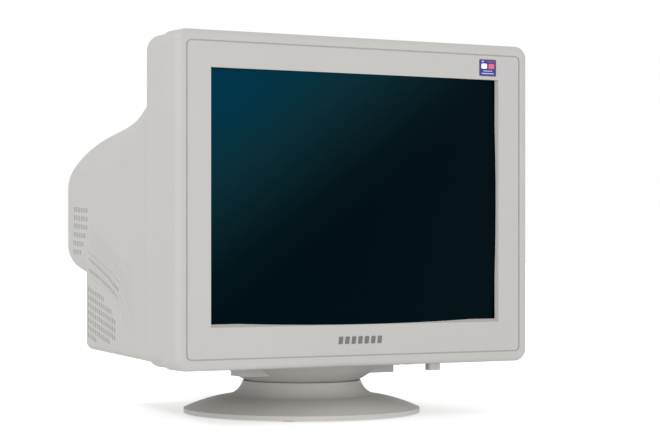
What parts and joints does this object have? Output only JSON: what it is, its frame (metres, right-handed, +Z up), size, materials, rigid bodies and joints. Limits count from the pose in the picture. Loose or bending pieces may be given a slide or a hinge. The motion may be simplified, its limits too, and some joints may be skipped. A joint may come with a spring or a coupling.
{
  "type": "cathode ray tube computer monitor",
  "caption": "Desktop computer display with a picture tube in a pale ribbed case, on a round stand that tilts and swivels.",
  "frame": {"origin": "on the table, under the swivel axis", "axes": "+Z up, the screen faces -Y, +X to the viewer's right"},
  "size_m": [0.356, 0.369, 0.3345],
  "materials": {
    "case_plastic": "fine moulded grain, warm pale grey",
    "stand_plastic": "fine moulded grain, a little darker",
    "button_plastic": "smooth satin",
    "badge_print": "printed foil label",
    "mark_print": "dark grey print",
    "lamp_plastic": "clear green light guide",
    "screen_glass": "dark tinted polished glass",
    "funnel_glass": "glass with a black carbon coat",
    "neck_glass": "clear glass",
    "steel": "rolled sheet",
    "mask_steel": "dark oxide",
    "gun_steel": "bright drawn",
    "black_rubber": "matte",
    "lead_plastic": "dark red insulation",
    "black_tape": "wound tape",
    "liner_plastic": "white nylon",
    "coil_wire": "enamelled copper wire",
    "ferrite": "sintered",
    "ring_plastic": "magnet plastic",
    "board_green": "paper laminate with solder mask",
    "black_plastic": "moulded",
    "aluminium": "extruded",
    "capacitor_sleeve": "shrunk sleeve",
    "brass_pin": "tinned",
    "screw_steel": "zinc plated",
    "knob_plastic": "moulded nylon"
  },
  "bodies": {
    "stand": {"stand_base": "stand_plastic", "rubber_feet": "black_rubber"},
    "hub": {"swivel_hub": "stand_plastic", "hub_washer": "stand_plastic", "hub_screw": "screw_steel"},
    "display": {"front_bezel": "case_plastic", "rear_cover": "case_plastic", "cover_back": "case_plastic", "connector_plate": "case_plastic", "control_board": "board_green", "switches": "black_plastic", "lamp_lens": "lamp_plastic", "approval_badge": "badge_print", "maker_mark": "mark_print", "face_panel": "screen_glass", "funnel": "funnel_glass", "neck": "neck_glass", "pin_base": "black_plastic", "shadow_mask": "mask_steel", "mask_frame": "mask_steel", "rim_band": "steel", "tube_screws": "screw_steel", "electron_gun": "gun_steel", "anode_cap": "black_rubber", "anode_lead": "lead_plastic", "demagnetising_coil": "black_tape", "yoke_liner": "liner_plastic", "line_coils": "coil_wire", "frame_coils": "coil_wire", "yoke_core": "ferrite", "neck_clamp": "liner_plastic", "ring_carrier": "black_plastic", "lock_ring": "liner_plastic", "chassis_tray": "black_plastic", "main_board": "board_green", "line_transformer": "black_plastic", "supply_transformer": "ferrite", "mains_capacitor": "capacitor_sleeve", "board_parts": "capacitor_sleeve", "neck_board": "board_green", "tube_socket": "liner_plastic", "mains_inlet": "black_plastic", "inlet_pins": "brass_pin", "signal_gland": "black_rubber", "case_screws": "screw_steel", "dome_connector": "stand_plastic", "heat_sinks": "aluminium"},
    "power_button": {"power_button": "button_plastic"},
    "menu_button_1": {"menu_button_1": "button_plastic"},
    "menu_button_2": {"menu_button_2": "button_plastic"},
    "menu_button_3": {"menu_button_3": "button_plastic"},
    "menu_button_4": {"menu_button_4": "button_plastic"},
    "correction_ring_1": {"correction_ring_1": "ring_plastic"},
    "correction_ring_2": {"correction_ring_2": "ring_plastic"},
    "correction_ring_3": {"correction_ring_3": "ring_plastic"},
    "correction_ring_4": {"correction_ring_4": "ring_plastic"},
    "correction_ring_5": {"correction_ring_5": "ring_plastic"},
    "correction_ring_6": {"correction_ring_6": "ring_plastic"},
    "focus_knob": {"focus_knob": "knob_plastic"},
    "screen_knob": {"screen_knob": "knob_plastic"}
  },
  "joints": [
    {"name": "swivel", "type": "hinge", "parent": "stand", "child": "hub", "pos_m": [0, 0, 0.015], "axis": [0, 0, 1], "range_deg": [-90, 90]},
    {"name": "tilt", "type": "hinge", "parent": "hub", "child": "display", "pos_m": [0, 0, 0.133], "axis": [-1, 0, 0], "range_deg": [-5, 13]},
    {"name": "power_press", "type": "slide", "parent": "display", "child": "power_button", "axis": [0, 0, 1], "range_m": [0, 0.0025], "stiffness_N_per_m": 400, "springref_m": -0.001},
    {"name": "menu_press_1", "type": "slide", "parent": "display", "child": "menu_button_1", "axis": [0, 0, 1], "range_m": [0, 0.0008], "stiffness_N_per_m": 600, "springref_m": -0.0005},
    {"name": "menu_press_2", "type": "slide", "parent": "display", "child": "menu_button_2", "axis": [0, 0, 1], "range_m": [0, 0.0008], "stiffness_N_per_m": 600, "springref_m": -0.0005},
    {"name": "menu_press_3", "type": "slide", "parent": "display", "child": "menu_button_3", "axis": [0, 0, 1], "range_m": [0, 0.0008], "stiffness_N_per_m": 600, "springref_m": -0.0005},
    {"name": "menu_press_4", "type": "slide", "parent": "display", "child": "menu_button_4", "axis": [0, 0, 1], "range_m": [0, 0.0008], "stiffness_N_per_m": 600, "springref_m": -0.0005},
    {"name": "ring_turn_1", "type": "hinge", "parent": "display", "child": "correction_ring_1", "pos_m": [0, 0.126, 0.1933], "axis": [0, 1, 0], "continuous": true},
    {"name": "ring_turn_2", "type": "hinge", "parent": "display", "child": "correction_ring_2", "pos_m": [0, 0.126, 0.1933], "axis": [0, 1, 0], "continuous": true},
    {"name": "ring_turn_3", "type": "hinge", "parent": "display", "child": "correction_ring_3", "pos_m": [0, 0.126, 0.1933], "axis": [0, 1, 0], "continuous": true},
    {"name": "ring_turn_4", "type": "hinge", "parent": "display", "child": "correction_ring_4", "pos_m": [0, 0.126, 0.1933], "axis": [0, 1, 0], "continuous": true},
    {"name": "ring_turn_5", "type": "hinge", "parent": "display", "child": "correction_ring_5", "pos_m": [0, 0.126, 0.1933], "axis": [0, 1, 0], "continuous": true},
    {"name": "ring_turn_6", "type": "hinge", "parent": "display", "child": "correction_ring_6", "pos_m": [0, 0.126, 0.1933], "axis": [0, 1, 0], "continuous": true},
    {"name": "focus_turn", "type": "hinge", "parent": "display", "child": "focus_knob", "pos_m": [0.084, 0.139, 0.1096], "axis": [0, 1, 0], "range_deg": [-135, 135]},
    {"name": "screen_turn", "type": "hinge", "parent": "display", "child": "screen_knob", "pos_m": [0.084, 0.139, 0.0896], "axis": [0, 1, 0], "range_deg": [-135, 135]}
  ]
}
